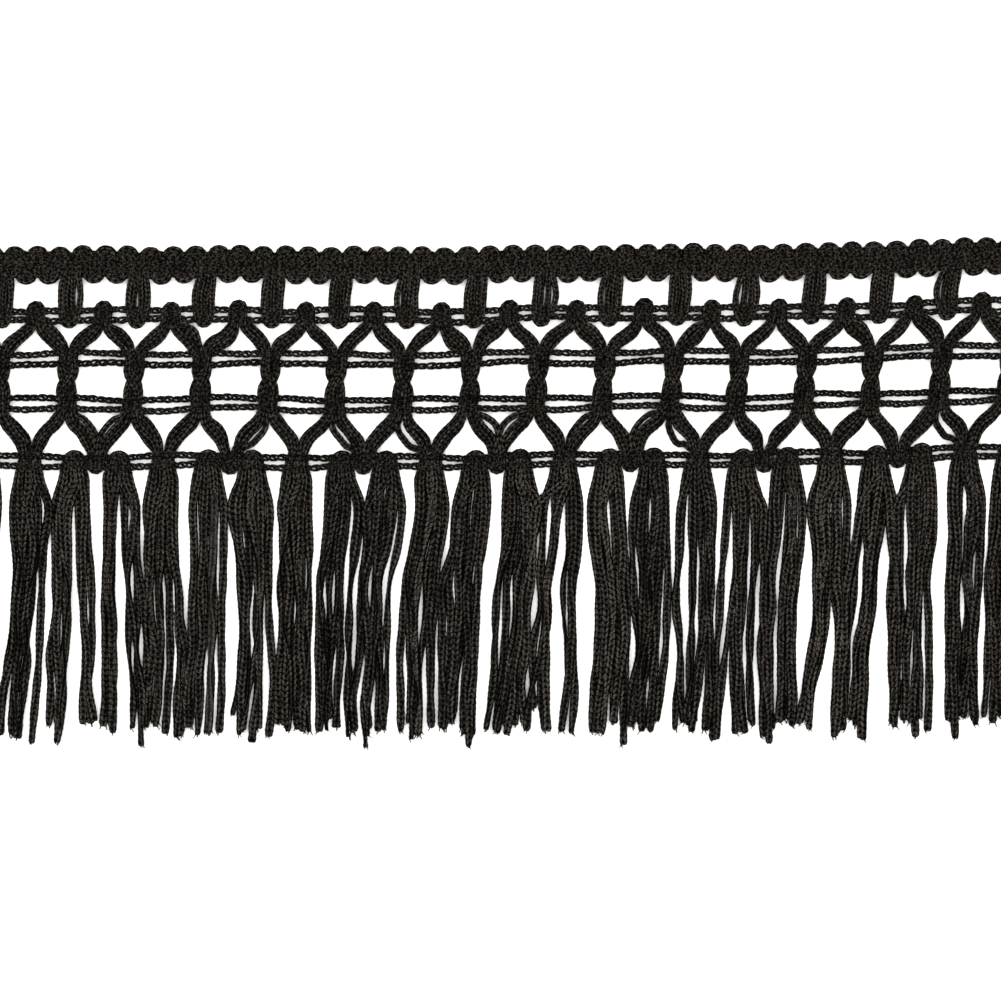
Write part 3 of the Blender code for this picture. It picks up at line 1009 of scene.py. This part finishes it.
@dataclass
class Fringe(Part):
    """Tassels of chainette, each looped over the lowest pair of chains and cut at both ends."""

    strand: Chainette = Chainette(1.86 * MM, 0.92 * MM, 1.17 * MM, loops=Loops.HERRINGBONE)
    pitch: float = 1.93 * MM
    # Where a strand comes free of the neck, where its lock is set half way down, and where it ends.
    shoulder: float = -49.5 * MM
    middle: float = -68.0 * MM
    tip: float = -94.6 * MM
    tip_uneven: float = 3.0 * MM
    route_points: int = 7
    lower_z: float = 0.48 * MM
    upper_z: float = 1.38 * MM
    # How far apart the strands leave the neck, and how far at most one of them strays from its way.
    neck_pitch: float = 2.2 * MM
    stray: float = 2.5 * MM
    # How far at most an upper strand lies aside from its lane, half way down and at its tip.
    upper_aside: tuple[float, float] = (1.5 * MM, 1.4 * MM)
    # From where and over what length a strand turns on its edge, and widens below the neck.
    turning: tuple[float, float] = (-44 * MM, 18 * MM)
    widening: tuple[float, float] = (-41.0 * MM, 8.0 * MM)
    neck_share: float = 0.72
    fibres: int = 2
    fibre_radius: float = 0.12 * MM
    # How each tassel hangs: how many of its four lower strands are in the left lock, and how far each
    # lock's middle lies from the root, half way down and at the tips, in millimetres.
    #   parting, left middle, left tip, right middle, right tip
    locks: tuple[Row, ...] = (
        (2, -2.9, -3.3, 0.6, 0.0), (3, -1.2, -3.7, 2.7, 0.8), (2, -2.7, -4.0, 3.3, 2.4),
        (2, -1.7, -2.5, 3.1, 3.4), (4, 0.0, 0.1, 0.0, 0.0), (3, -0.8, -2.2, 3.5, 2.5),
        (3, -0.4, -1.6, 3.5, 3.7), (2, -2.2, -1.2, 1.8, 2.4), (3, -2.2, -3.9, 1.6, 1.2),
        (2, -3.9, -5.3, -0.2, -0.6), (2, -4.9, -5.3, -0.2, -0.8), (2, -4.3, -5.0, -0.2, -1.4),
        (4, -1.2, -3.5, 0.0, 0.0), (2, -4.7, -5.7, 1.4, 0.6), (2, -1.4, -2.4, 3.6, 2.8),
        (2, -2.0, -3.3, 0.8, -0.4), (1, -4.1, -4.9, 1.0, -0.2), (1, -5.3, -5.5, 0.4, 0.4),
        (2, -4.5, -4.1, 0.2, 0.4), (2, -2.0, -4.9, 2.6, 0.6), (3, -2.8, -4.1, 3.9, 3.3),
        (2, -3.5, -4.3, 0.6, -0.2), (2, -1.4, -2.6, 2.0, 1.0), (2, -3.9, -3.7, 0.6, 0.4),
    )

    def lower_places(self, at_tip: bool) -> Array:
        """Where the lower strands of the whole fringe lie, moved as little as keeps them apart.

        Args:
            at_tip: whether the tips are asked for, or the places half way down.

        Returns:
            Four places for each tassel, from left to right.
        """
        found = []
        for number, lock in enumerate(self.locks):
            parting, left, right = lock[0], lock[1 + at_tip], lock[3 + at_tip]
            root = self.pattern.tassel_root(number)
            # Each strand's lock: how far its middle lies from the root, and which lane its middle is.
            own = [(left, (parting - 1) / 2)] * parting + [(right, (parting + 3) / 2)] * (4 - parting)
            found += [root + way * MM + (lane - mid) * self.pitch for lane, (way, mid) in enumerate(own)]
        places = np.array(found)
        for _ in range(200):
            for index in range(len(places) - 1):
                short = self.pitch - (places[index + 1] - places[index])
                if short > 0:
                    places[index] -= short / 2
                    places[index + 1] += short / 2
        return places

    def strand_route(
        self, number: int, lane: float, upper: bool, middle: float, tip: float
    ) -> tuple[list[Triple], float]:
        """One hanging strand, from below the neck of the tassel to its cut end.

        Args:
            number: the tassel.
            lane: 0 to 3 from left to right, and between two lower strands for some upper ones.
            upper: whether the strand lies over the others.
            middle: where the lower strands of this lane lie half way down.
            tip: where the lower strands of this lane end.

        Returns:
            The points from the neck down, and how far the strand is turned on its edge at its end.
        """
        root = self.pattern.tassel_root(number)
        seed = number * 31 + lane * 7 + upper * 3
        z = self.upper_z if upper else self.lower_z
        end = self.tip + self.tip_uneven * uneven(seed, 51) ** 3 + 1.2 * MM * uneven(seed, 52)
        spread = self.neck_pitch + 0.3 * MM * uneven(number, 63)
        start = root + (lane - 1.5) * spread + 0.5 * MM * (uneven(seed, 54) + uneven(number, 64))
        if upper:
            start += 0.5 * MM * uneven(seed, 65)
            middle += self.upper_aside[0] * uneven(seed, 55)
            tip += self.upper_aside[1] * uneven(seed, 56)
        in_left = lane < self.locks[number][0]
        stray = max(0.0, abs(uneven(seed, 53)) - 0.6) * self.stray
        points = []
        for step, y in enumerate(np.linspace(self.shoulder, end, self.route_points)):
            if y > self.middle:
                part = smooth_step((y - self.shoulder) / (self.middle - self.shoulder))
                x = start + (middle - start) * part
            else:
                x = middle + (tip - middle) * (y - self.middle) / (end - self.middle)
            down = (y - self.shoulder) / (end - self.shoulder)
            sway = uneven(number * 2 + in_left, step, 60) + uneven(number * 2 + in_left, step + 1, 60)
            x += (0.18 + 0.2 * down) * MM * sway
            own = (0.5 if upper else 0.2 + 0.35 * down) * MM + stray * math.sin(math.pi * down)
            x += own * (0.7 * uneven(seed, step, 57) + 0.5 * uneven(seed, step + 1, 57))
            points.append((x, y, z + (0.1 * MM * uneven(seed, step, 58) if upper else 0.0)))
        return points, uneven(seed, 59)

    def between(self, places: Array, lane: float) -> float:
        """The place of a strand that lies between or beside a tassel's four lower strands."""
        beyond = min(lane, 0.0) + max(lane - 3.0, 0.0)
        return np.interp(lane, range(4), places) + beyond * self.pitch

    def lanes(self, number: int, upper: bool, outer: bool) -> tuple[float, float]:
        """Where the two halves of a chainette hang, counted in lower strands from the left.

        Args:
            number: the tassel.
            upper: whether it lies over the others. It then hangs between two lower strands, or on one of
                them where those two part.
            outer: whether it is the outer one of its two loops.

        Returns:
            The place of its left half and of its right half.
        """
        if not upper:
            return (0, 3) if outer else (1, 2)
        parting = self.locks[number][0]
        found = []
        for lane in (0.5, 2.5) if outer else (1.5, 1.5 + 2.1 * uneven(number, 61)):
            if abs(lane - (parting - 0.5)) < 0.4:
                lane = parting - 0.5 + (0.4 if uneven(number, lane, 62) > 0 else -0.4)
            found.append(lane)
        return min(found), max(found)

    def looped_route(
        self, number: int, upper: bool, outer: bool, halves: Sequence[list[Triple]]
    ) -> list[Triple]:
        """A chainette's whole way, up one side of the tassel, over the chain and down the other side.

        Args:
            number: the tassel.
            upper: whether it lies over the others.
            outer: whether it is the outer one of its two loops.
            halves: the hanging strands on the left and on the right, from the neck down.

        Returns:
            The points from the left end to the right end.
        """
        root = self.pattern.tassel_root(number)
        if upper:
            shares = (-0.68, 0.68) if outer else (-0.08, 0.40)
        else:
            shares = (-1.0, 1.0) if outer else (-0.34, 0.34)
        z = (1.5 if upper else 0.62) * MM
        # Half the tassel's width and y, in millimetres.
        neck = ((2.6, -44.0), (2.3, -42.4), (1.95, -40.9), (1.75, -39.8), (1.4, -39.0), (0.75, -38.5))
        drop = 0.0 if outer else -0.5 * MM
        left, right = ([(root + k * half * MM, y * MM + drop, z) for half, y in neck] for k in shares)
        apex = (root + sum(shares) / 2 * MM, -38.35 * MM + drop, z)
        return halves[0][::-1] + left + [apex] + right[::-1] + halves[1]

    def frays(self, mesher: Mesher, end: Array, number: int) -> None:
        """Loose fibres at a strand's cut end.

        Args:
            mesher: gathers them.
            end: the strand's last point.
            number: seeds their unevenness.
        """
        ring = np.array(((1, 0, 0), (0, 0, 1), (-1, 0, 0), (0, 0, -1)))
        for index in range(self.fibres):
            length = (0.45 + 0.35 * uneven(number, index, 71)) * MM
            side = 0.55 * MM * uneven(number, index, 72)
            spread = 0.45 * MM * uneven(number, index, 73)
            # Share of the spread, way down the strand, and share of the height.
            rows = ((0.0, 0.8 * MM, 1.0), (0.2, 0.0, 1.0), (1.0, -0.6 * length, 0.8), (1.4, -length, 0.6))
            route = [(end[0] + side + spread * a, end[1] + b, end[2] * c) for a, b, c in rows]
            path = smooth_path(route, 0.5 * MM)
            mesher.tube(path[:, None, :] + self.fibre_radius * ring, np.zeros(len(path)))

    def tassel_piece(self, number: int, middles: Array, tips: Array) -> Object:
        """One tassel: four chainettes, each looped over the chain so that its two halves hang.

        Args:
            number: the tassel.
            middles: where all lower strands lie half way down.
            tips: where all lower strands end.

        Returns:
            The tassel.
        """
        mesher = Mesher(self.pattern)
        middles, tips = middles[4 * number : 4 * number + 4], tips[4 * number : 4 * number + 4]
        for upper, outer in ((False, True), (False, False), (True, True), (True, False)):
            halves, turns = [], []
            for lane in self.lanes(number, upper, outer):
                # An upper strand moves on its way down, to end on a lower one rather than between two.
                move = math.copysign(0.42, uneven(number, lane, 66)) if upper else 0.0
                middle, tip = self.between(middles, lane), self.between(tips, lane + move)
                points, turn = self.strand_route(number, lane, upper, middle, tip)
                halves.append(points)
                turns.append(turn)
            path = smooth_path(self.looped_route(number, upper, outer, halves), self.strand.stitch / 2)
            free = smooth_step((self.turning[0] - path[:, 1]) / self.turning[1])
            turned = np.where(np.arange(len(path)) < np.argmax(path[:, 1]), *turns)
            rock = np.sin(path[:, 1] * 420 + number + turned * 9)
            roll = (turned * abs(turned) * (0.8 + 0.5 * free**3) + 0.5 * rock) * free
            path[:, 2] += np.abs(np.sin(roll)) * (self.strand.width - self.strand.thick) / 2
            wide = smooth_step((self.widening[0] - path[:, 1]) / self.widening[1])
            squeeze = self.neck_share + (1 - self.neck_share) * wide
            steps = np.arange(len(path))
            for end in (steps, steps[::-1]):
                drawn = 0.1 + 0.25 * uneven(number, len(path), end[0], upper + 2 * outer)
                squeeze = squeeze * (1 - drawn * np.clip(1 - end / 3, 0.0, 1.0))
            self.strand.tube(mesher, path, roll, number % 2, squeeze)
            for end in (0, -1):
                self.frays(mesher, path[end], number * 8 + 4 * upper + 2 * outer + end)
        name = f"tassel_{number + 1:02d}"
        return self.piece(mesher, f"fringe_{name}", Yarn.FRINGE, name)

    def build(self) -> list[Object]:
        """Makes all tassels."""
        middles, tips = self.lower_places(False), self.lower_places(True)
        return [self.tassel_piece(number, middles, tips) for number in range(self.pattern.tassels)]


@dataclass
class Studio:
    """Pale floor, soft lights all round and a camera straight above the trim."""

    floor_half: float = 5.0
    view_width: float = 203.7 * MM
    view_middle: tuple[float, float] = (-2.4 * MM, -48.0 * MM)
    # How high the plane lies that is seen view_width wide.
    face_height: float = 1.5 * MM
    lens: float = 200.0
    sensor: float = 36.0
    lamp_power: float = 4.0
    lamp_size: float = 0.5
    lamp_reach: float = 0.6
    lamp_height: float = 0.62
    # Each lamp's way along and across in shares of the reach, and its share of the power.
    lamp_places: tuple[Triple, ...] = ((-1, 0.5, 0.6), (1, 0.5, 0.45), (0.3, -1, 0.3), (-0.2, 1, 0.8))

    def floor(self) -> Object:
        """The floor that the trim lies on.

        Returns:
            The floor.
        """
        mesh = bpy.data.meshes.new("floor")
        half = self.floor_half
        corners = [(-half, -half, 0), (half, -half, 0), (half, half, 0), (-half, half, 0)]
        mesh.from_pydata(corners, [], [(0, 1, 2, 3)])
        material = bpy.data.materials.new("pale_floor")
        graph = Graph(material)
        values = {"Base Color": (0.88, 0.88, 0.88, 1.0), "Roughness": 0.9, "Specular IOR Level": 0.1}
        graph.end("ShaderNodeOutputMaterial", graph.add("ShaderNodeBsdfPrincipled", {}, values))
        mesh.materials.append(material)
        made = placed("floor", mesh)
        return made

    def sky(self) -> None:
        """A room with a bright ceiling and dim walls."""
        bpy.context.scene.world = bpy.data.worlds.new("studio")
        graph = Graph(bpy.context.scene.world)
        rise = graph.part(graph.add("ShaderNodeTexCoord", {}, {}, "Generated"), "Z")
        strength = 0.12 + ((rise - 0.65) * 3.2).held() * 4.0
        values = {"Color": (1.0, 0.99, 0.97, 1.0), "Strength": strength}
        graph.end("ShaderNodeOutputWorld", graph.add("ShaderNodeBackground", {}, values))

    def lamps(self) -> None:
        """Four soft lamps round the trim."""
        for number, (x, y, share) in enumerate(self.lamp_places):
            light = bpy.data.lights.new(f"lamp_{number}", "AREA")
            light.size = self.lamp_size
            light.energy = self.lamp_power * share
            made = placed(light.name, light)
            made.location = (x * self.lamp_reach, y * self.lamp_reach - 0.04, self.lamp_height)
            slope = math.atan2(math.hypot(x, y) * self.lamp_reach, self.lamp_height)
            made.rotation_euler = (slope, 0.0, math.atan2(y, x) + math.pi / 2)

    def camera(self) -> None:
        """A camera with a long lens straight above, that takes in as much of the length as is seen."""
        data = bpy.data.cameras.new("camera")
        data.sensor_width = self.sensor
        data.lens = self.lens
        made = placed("camera", data)
        made.location = (*self.view_middle, self.face_height + self.view_width * self.lens / self.sensor)
        bpy.context.scene.camera = made
        bpy.context.scene.view_settings.view_transform = "Standard"

    def build(self) -> Object:
        """Makes all of it.

        Returns:
            The floor.
        """
        self.camera()
        self.sky()
        self.lamps()
        return self.floor()


def main() -> None:
    """Builds the scene and the trim, and reports each piece."""
    logging.basicConfig(level=logging.INFO, format="%(name)s %(message)s")
    pattern = Pattern()
    floor = Studio().build()
    heading = HeadingBraid(pattern).build()
    net = LatticeNet(pattern).build()
    fringe = Fringe(pattern).build()
    for piece in (*heading, *net, *fringe):
        log.info("%s: %d triangles", piece.name, 2 * len(piece.data.polygons))


if __name__ == "__main__":
    main()
